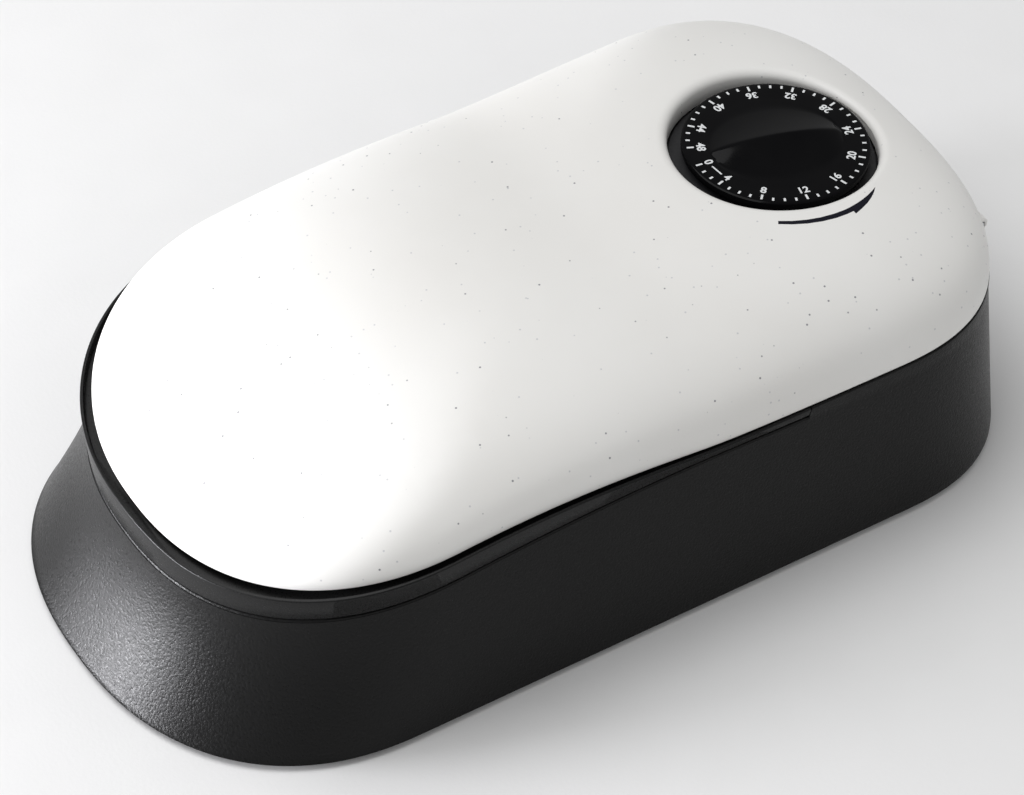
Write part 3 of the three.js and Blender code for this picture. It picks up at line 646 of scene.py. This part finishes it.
def lid_shell():
    """One closed skin: well wall, fillet, roof, lower edge, inside of roof, well tube."""
    edge_x, edge_y = outline(LID_EDGE)
    turn = np.arctan2((edge_y - DIAL_Y) / math.cos(DIAL_TILT), edge_x)
    rows = []

    def timer_row(radius, w):
        y = WINDOW_SHIFT + radius * np.sin(turn)
        rows.append(timer_point(radius * np.cos(turn), y, w + 0 * turn))

    for w in (WINDOW_FLOOR + 0.25, WINDOW_FLOOR + 1.5, -2.0):
        timer_row(WINDOW_R, w)
    for angle in np.linspace(0, math.pi / 2, 13):
        radius = WINDOW_R + FILLET * (1 - math.cos(angle))
        drop = FILLET_DROP * (1 - math.sin(angle))
        timer_row(radius, roof_over_timer(radius, turn) - drop)
    start = rows[-1]
    for s in np.linspace(1, 0, 60)[1:-1]:
        t = 1 - s ** ROOF_ROUND
        x = start[:, 0] + (edge_x - start[:, 0]) * t
        y = start[:, 1] + (edge_y - start[:, 1]) * t
        rows.append(np.stack([x, y, lid_height(x, y)], axis=1))
    for inset, rise in ((0, 0.34), (0.1, 0.1), (0.34, 0), (WALL - 0.3, 0), (WALL, 0.3)):
        rows.append(ring(LID_EDGE, shifted(edge_height, rise), inset))
    inner_x, inner_y = outline(LID_EDGE, WALL)
    tube = WINDOW_R + WINDOW_WALL
    end = timer_point(tube * np.cos(turn), WINDOW_SHIFT + tube * np.sin(turn),
                      roof_over_timer(tube, turn, WALL))
    for s in np.linspace(0, 1, 30)[1:]:
        t = 1 - s ** ROOF_ROUND
        x = end[:, 0] + (inner_x - end[:, 0]) * t
        y = end[:, 1] + (inner_y - end[:, 1]) * t
        rows.append(np.stack([x, y, lid_height(x, y, WALL)], axis=1))
    timer_row(tube, WINDOW_FLOOR)
    timer_row(WINDOW_R + 0.2, WINDOW_FLOOR)
    count = len(turn)
    faces = []
    for r in range(len(rows)):
        for i in range(count):
            j = (i + 1) % count
            a, b = r * count, (r + 1) % len(rows) * count
            faces.append((a + i, b + i, b + j, a + j))
    shell = shape(np.concatenate(rows), faces)
    for sign in (-1, 1):
        slot = (BASE_KNUCKLE[0] - KNUCKLE_ROOM, BASE_KNUCKLE[1] + KNUCKLE_ROOM)
        b0, b1 = mirrored(slot, sign)
        x0, x1 = mirrored(LID_KNUCKLE, sign)
        tip = KNUCKLE_R - KNUCKLE_CHAMFER
        knuckle = lathe([(0, x0), (tip, x0), (KNUCKLE_R, x0 + KNUCKLE_CHAMFER),
                         (KNUCKLE_R, x1 - KNUCKLE_CHAMFER), (tip, x1), (0, x1)], 40,
                        tilt=Matrix.Translation((0, HINGE_Y, HINGE_Z))
                        @ Matrix.Rotation(math.pi / 2, 4, "Y"))
        carve(shell, ("+", knuckle),
              ("-", rod_x(KNUCKLE_R + KNUCKLE_ROOM, b0, b1, HINGE_Y, HINGE_Z)),
              ("-", block(b0, b1, HINGE_Y - 5, HINGE_Y + 6, HINGE_Z - ARM_DROP, HINGE_Z)),
              ("-", rod_x(PIN_R + GAP, x0 - 1, x1 + 1, HINGE_Y, HINGE_Z)))
    return shell


def lid_posts():
    """The screw posts between the roof and what it carries, in one piece."""
    posts = None
    for x, y in LINER_POSTS:
        top = float(lid_height(np.array([x]), np.array([y]), WALL)[0])
        low = float(edge_height(np.array(y))) + POST_RISE
        made = rod(POST_R, low, top, (x, y), 32)
        carve(made, ("-", rod(SCREW_HOLE, low - 1, low + 7, (x, y), 20)))
        posts = made if posts is None else carve(posts, ("+", made))
    return posts


def lid_liner():
    rings = []
    for inset, rise in ((3.3, LINER_LOW), (2.95, LINER_LOW + 0.1), (2.85, LINER_LOW + 0.4),
                        (2.85, LINER_HIGH - 0.4), (2.95, LINER_HIGH - 0.1), (3.3, LINER_HIGH)):
        rings.append(ring(LID_EDGE, shifted(edge_height, rise), inset + 0.25))
    liner = skin(rings)
    room = 2 * GAP
    hole = block(CASE["left"] - room, CASE["right"] + room, CASE["front"] - 6,
                 CASE["rear"] + room, -40, 10)
    hole.data.transform(TIMER)
    carve(liner, ("-", hole))
    for y in CASE_SCREWS:
        carve(liner, ("-", rod(TAB_ROOM_R, -40, 10, (CASE_TAB_X, y), tilt=TIMER)))
    for spot in LINER_POSTS:
        carve(liner, ("-", rod(SCREW_HOLE, 40, SKY, spot, 24)))
    return carve(liner, ("*", front_half(HINGE_Y - 3.6)))


def closed_sweep(path, section):
    """A closed tube: the section's (across, up) points carried round a closed plan path."""
    ahead = np.roll(path, -1, axis=0) - np.roll(path, 1, axis=0)
    ahead[:, 2] = 0
    ahead /= np.linalg.norm(ahead, axis=1)[:, None]
    across = np.stack([ahead[:, 1], -ahead[:, 0], 0 * ahead[:, 0]], axis=1)
    points = [path + across * a + np.array((0, 0, u)) for a, u in section]
    count, sides = len(path), len(section)
    faces = []
    for s in range(sides):
        for i in range(count):
            j, n = (i + 1) % count, (s + 1) % sides
            faces.append((s * count + i, s * count + j, n * count + j, n * count + i))
    return shape(np.concatenate(points), faces)


def lid_seal():
    """A soft lip that follows the lid's edge and returns straight across behind the bowl."""
    middle = SEAL_INSET + SEAL_WIDTH / 2
    rear = BOWL_REAR + 6 - SEAL_WIDTH / 2
    x, y = outline(LID_EDGE, middle)
    half = (x >= 0) & (y < rear - SEAL_CORNER)
    side_x, side_y = x[half], y[half]
    width = LID_EDGE["width"](np.array(rear)) - middle
    corner = np.linspace(0, math.pi / 2, 10)
    side_x = np.append(side_x, width - SEAL_CORNER + SEAL_CORNER * np.cos(corner))
    side_y = np.append(side_y, rear - SEAL_CORNER + SEAL_CORNER * np.sin(corner))
    x = np.append(side_x, -side_x[::-1][:-1])
    y = np.append(side_y, side_y[::-1][:-1])
    low, high = rim_height(y) + GAP, edge_height(y) + LINER_LOW - GAP
    path = np.stack([x, y, (low + high) / 2], axis=1)
    half_width = SEAL_WIDTH / 2
    half_height = float(np.min(high - low)) / 2
    turn = np.linspace(0, 2 * math.pi, 20, endpoint=False)
    section = []
    for a in turn:
        c, s = math.cos(a), math.sin(a)
        section.append((half_width * math.copysign(abs(c) ** 0.6, c),
                        half_height * math.copysign(abs(s) ** 0.6, s)))
    return closed_sweep(path, section)


# ---- dial ---------------------------------------------------------------------------------
KNOB_R = 18.6
RIDGE = 3.0  # height of the grip's ridge over the dial's ring
SCOOP = -0.3  # lowest part of the scoops beside it
DIAL_SIDES = 180
DIAL_BACK = -2.5


def knob_height(x, y):
    """The sculpted middle of the dial: a ridge across it, with a broad scoop on each side."""
    a = x * math.cos(GRIP_ANGLE) + y * math.sin(GRIP_ANGLE)
    b = -x * math.sin(GRIP_ANGLE) + y * math.cos(GRIP_ANGLE)
    reach = np.sqrt(np.clip(KNOB_R ** 2 - a * a, 1e-6, None))
    away = np.clip(np.hypot(b, 0.35) / reach, 0, 1)
    ridge = RIDGE * np.clip(1 - (a / KNOB_R) ** 2, 0, 1) ** 0.6
    return SCOOP * (1 - smooth(0.7, 1.0, away)) + (ridge - SCOOP) * (1 - away) ** 1.5


def time_dial():
    turn = np.linspace(0, 2 * math.pi, DIAL_SIDES, endpoint=False)
    radii = list(np.linspace(0.4, KNOB_R, 48)) + [18.9, 19.1, 19.3, 19.6]
    rows = []
    for radius in radii:
        x, y = radius * np.cos(turn), radius * np.sin(turn)
        w = knob_height(x, y) if radius <= KNOB_R else 0 * x
        rows.append(np.stack([x, y, w], axis=1))
    for radius, w in ((22, 0), (DIAL_R - 0.7, 0), (DIAL_R - 0.35, -0.08), (DIAL_R - 0.1, -0.28),
                      (DIAL_R, -0.6), (DIAL_R, -2.1), (DIAL_R - 0.4, DIAL_BACK), (3, DIAL_BACK)):
        rows.append(np.stack([radius * np.cos(turn), radius * np.sin(turn), w + 0 * turn], axis=1))
    middle = float(knob_height(np.array(0.0), np.array(0.0)))
    points = np.concatenate(rows + [[(0, 0, middle)], [(0, 0, DIAL_BACK)]])
    top, bottom = len(points) - 2, len(points) - 1
    last = (len(rows) - 1) * DIAL_SIDES
    faces = []
    for i in range(DIAL_SIDES):
        j = (i + 1) % DIAL_SIDES
        faces.append((top, i, j))
        faces.append((bottom, last + j, last + i))
        for r in range(len(rows) - 1):
            a = r * DIAL_SIDES
            faces.append((a + j, a + i, a + i + DIAL_SIDES, a + j + DIAL_SIDES))
    made = shape(points, faces)
    made.data.transform(TIMER)
    return made


FIRST_MARK = -94.7  # bearing of the mark of 0, in degrees
MARK_PITCH = 7.43
MARKS = 47
MARK_OUTER = 24.2
MARK_HALF = 0.3
LONG_MARK = 1.9
SHORT_MARK = 1.15
NUMBER_R = 20.5
NUMBER_SIZE = 3.3
NUMBER_BOLD = 0.09
DASH_HALF = 0.22  # half width of the dash from 0 to 4
PRINT_LIFT = 0.03
PRINT_DEPTH = 0.1
ARROW_DEPTH = 0.15


def flat_prism(corners, w0, w1):
    """A thin closed plate from its corners, given anticlockwise."""
    count = len(corners)
    points = [(x, y, w0) for x, y in corners] + [(x, y, w1) for x, y in corners]
    faces = [tuple(range(count))[::-1], tuple(range(count, 2 * count))]
    faces += [(i, (i + 1) % count, (i + 1) % count + count, i + count) for i in range(count)]
    return points, faces


def gather(parts):
    """One mesh object from several lists of points and faces."""
    points, faces = [], []
    for more_points, more_faces in parts:
        base = len(points)
        points += [tuple(p) for p in more_points]
        faces += [tuple(base + i for i in face) for face in more_faces]
    return shape(points, faces)


def bar(radius0, radius1, bearing, half_width):
    """A short radial mark."""
    c, s = math.cos(math.radians(bearing)), math.sin(math.radians(bearing))
    corners = []
    for radius, side in ((radius0, -1), (radius1, -1), (radius1, 1), (radius0, 1)):
        corners.append((radius * c - side * half_width * s, radius * s + side * half_width * c))
    return flat_prism(corners, -PRINT_DEPTH, PRINT_LIFT)


def numeral(text, bearing):
    """A number as a thin solid, its top towards the dial's middle."""
    curve = bpy.data.curves.new("numeral", "FONT")
    curve.body = text
    curve.size = NUMBER_SIZE
    curve.align_x = "CENTER"
    curve.align_y = "CENTER"
    curve.extrude = (PRINT_LIFT + PRINT_DEPTH) / 2
    curve.offset = NUMBER_BOLD
    made = bpy.data.objects.new("numeral", curve)
    bpy.context.scene.collection.objects.link(made)
    bpy.context.view_layer.update()
    mesh = bpy.data.meshes.new_from_object(made.evaluated_get(
        bpy.context.evaluated_depsgraph_get()))
    bpy.data.objects.remove(made)
    angle = math.radians(bearing)
    middle = (PRINT_LIFT - PRINT_DEPTH) / 2
    place = Matrix.Translation((NUMBER_R * math.cos(angle), NUMBER_R * math.sin(angle), middle))
    mesh.transform(place @ Matrix.Rotation(angle + math.pi / 2, 4, "Z"))
    work = bmesh.new()
    work.from_mesh(mesh)
    bmesh.ops.remove_doubles(work, verts=work.verts, dist=0.003)
    points = [tuple(v.co) for v in work.verts]
    faces = [tuple(v.index for v in face.verts) for face in work.faces]
    work.free()
    bpy.data.meshes.remove(mesh)
    return points, faces


def dial_print():
    labels = {0: 0, 3: 4}
    for i in range(10):
        labels[7 + 4 * i] = 8 + 4 * i
    labels[MARKS - 1] = 48
    parts = []
    for i in range(MARKS):
        bearing = FIRST_MARK + i * MARK_PITCH
        length = LONG_MARK if i in labels else SHORT_MARK
        parts.append(bar(MARK_OUTER - length, MARK_OUTER, bearing, MARK_HALF))
    for i, value in labels.items():
        parts.append(numeral(str(value), FIRST_MARK + i * MARK_PITCH))
    ends = []
    for share in (0.25, 0.75):
        bearing = math.radians(FIRST_MARK + 3 * MARK_PITCH * share)
        ends.append(np.array((math.cos(bearing), math.sin(bearing))) * NUMBER_R)
    run = ends[1] - ends[0]
    side = np.array((run[1], -run[0])) / np.linalg.norm(run) * DASH_HALF
    corners = [ends[0] + side, ends[1] + side, ends[1] - side, ends[0] - side]
    parts.append(flat_prism(corners, -PRINT_DEPTH, PRINT_LIFT))
    made = gather(parts)
    made.data.transform(TIMER)
    return made


ARROW = (  # bearing in degrees, inner and outer radius, from the tail to the tip
    (-32.5, 34.4, 35.55), (-26.5, 34.4, 35.65), (-20, 34.3, 35.7), (-13.5, 34.15, 35.65),
    (-7, 33.9, 35.5), (-1.5, 33.65, 35.25), (2.4, 33.4, 35.0), (1.9, 33.4, 36.1),
    (6, 33.1, 35.3), (10.4, 32.75, 34.5), (14.6, 32.4, 33.6), (18.7, 32.0, 32.6),
    (21.7, 31.7, 31.75),
)


def turn_arrow():
    """The printed arrow beside the dial, a thin plate that follows the roof."""
    across = 5
    plan = []
    for bearing, inner, outer in ARROW:
        angle = math.radians(bearing)
        for radius in np.linspace(inner, outer, across):
            plan.append((radius * math.cos(angle), DIAL_Y + radius * math.sin(angle)))
    x, y = np.array(plan).T
    z = lid_height(x, y)
    points = np.concatenate([np.stack([x, y, z - ARROW_DEPTH], 1),
                             np.stack([x, y, z + PRINT_LIFT], 1)])
    count = len(plan)
    faces = []
    border = []
    last = len(ARROW) - 1
    for r in range(last):
        for k in range(across - 1):
            a = r * across + k
            faces.append((a, a + across, a + across + 1, a + 1))
            faces.append((a + count, a + count + 1, a + count + across + 1, a + count + across))
    border += [(k, k + 1) for k in range(across - 1)]
    border += [(r * across + across - 1, (r + 1) * across + across - 1) for r in range(last)]
    border += [(last * across + k + 1, last * across + k) for k in reversed(range(across - 1))]
    border += [((r + 1) * across, r * across) for r in reversed(range(last))]
    faces += [(a, b, b + count, a + count) for a, b in border]
    return shape(points, faces)


# ---- put together ------------------------------------------------------------------------
piece(base_shell(), "base_body", BASE_BLACK, "base", ["base_shell"])
piece(food_bowl(), "bowl", BOWL_BLACK, "base", ["food_bowl"])
piece(lid_shell(), "lid_cover", LID_WHITE, "lid", ["lid_shell"])
piece(lid_posts(), "lid_posts", LID_WHITE, "lid")
piece(lid_liner(), "liner", FINISHES["liner_grey"], "lid", ["lid_liner"])
piece(lid_seal(), "seal", FINISHES["seal_grey"], "lid", ["lid_seal"])
piece(time_dial(), "dial_knob", DIAL_BLACK, "dial", ["time_dial"], 30.0)
piece(dial_print(), "dial_marks", PRINT_WHITE, "dial")
piece(turn_arrow(), "turn_arrow", PRINT_NAVY, "lid")

for part in frame["record"]["subparts"]:
    cad = frame["nodes"][part["node"]]
    cad.data.materials.clear()
    cad.data.materials.append(FINISHES[part["material_slot"]])


# ---- floor, light, camera ---------------------------------------------------------------
def stage_plane(size, name):
    half = size / 2
    made = shape([(-half, -half, 0), (half, -half, 0), (half, half, 0), (-half, half, 0)],
                 [(0, 1, 2, 3)])
    made.name = name
    made.data.materials.append(plastic("floor_white", (0.86, 0.86, 0.86, 1), 0.6, 0.7, vary=0.01))


def softbox(name, direction, distance, size, power, colour=(1, 1, 1)):
    data = bpy.data.lights.new(name, "AREA")
    data.shape = "RECTANGLE"
    data.size, data.size_y = size
    data.energy = power
    data.color = colour
    made = bpy.data.objects.new(name, data)
    bpy.context.scene.collection.objects.link(made)
    away = Vector(direction).normalized()
    made.location = away * distance
    made.rotation_euler = away.to_track_quat("Z", "Y").to_euler()


ROOM_LIGHT = 0.42


def light_room():
    world = bpy.data.worlds.new("room")
    world.use_nodes = True
    world.node_tree.nodes["Background"].inputs["Color"].default_value = (1, 1, 1, 1)
    world.node_tree.nodes["Background"].inputs["Strength"].default_value = ROOM_LIGHT
    bpy.context.scene.world = world
    softbox("key", (-0.38, -0.92, 0.08), 0.9, (0.28, 0.12), 14.0, (0.96, 0.96, 1.0))
    softbox("top", (-0.24, -0.24, 0.94), 1.1, (0.9, 0.9), 6.8)
    softbox("side", (0.80, 0.10, 0.60), 1.2, (0.7, 0.5), 0.7)


def place_camera():
    azimuth, elevation = math.radians(60.35), math.radians(44.64)
    roll, distance = math.radians(-1.69), 1.1691
    target = Vector((0.0025, 0.0, 0.0298))
    back = Vector((math.sin(azimuth) * math.cos(elevation),
                   -math.cos(azimuth) * math.cos(elevation), math.sin(elevation)))
    right = Vector((math.cos(azimuth), math.sin(azimuth), 0))
    up = back.cross(right)
    turned = right * math.cos(roll) + up * math.sin(roll)
    up = up * math.cos(roll) - right * math.sin(roll)
    data = bpy.data.cameras.new("camera")
    data.sensor_width = 36.0
    data.lens = 154.09
    data.shift_y = -0.0062
    camera = bpy.data.objects.new("camera", data)
    axes = Matrix((turned, up, back)).transposed().to_4x4()
    camera.matrix_world = Matrix.Translation(target + back * distance) @ axes
    bpy.context.scene.collection.objects.link(camera)
    bpy.context.scene.camera = camera


stage_plane(6.0, "floor")
light_room()
place_camera()
bpy.context.scene.view_settings.view_transform = "Standard"
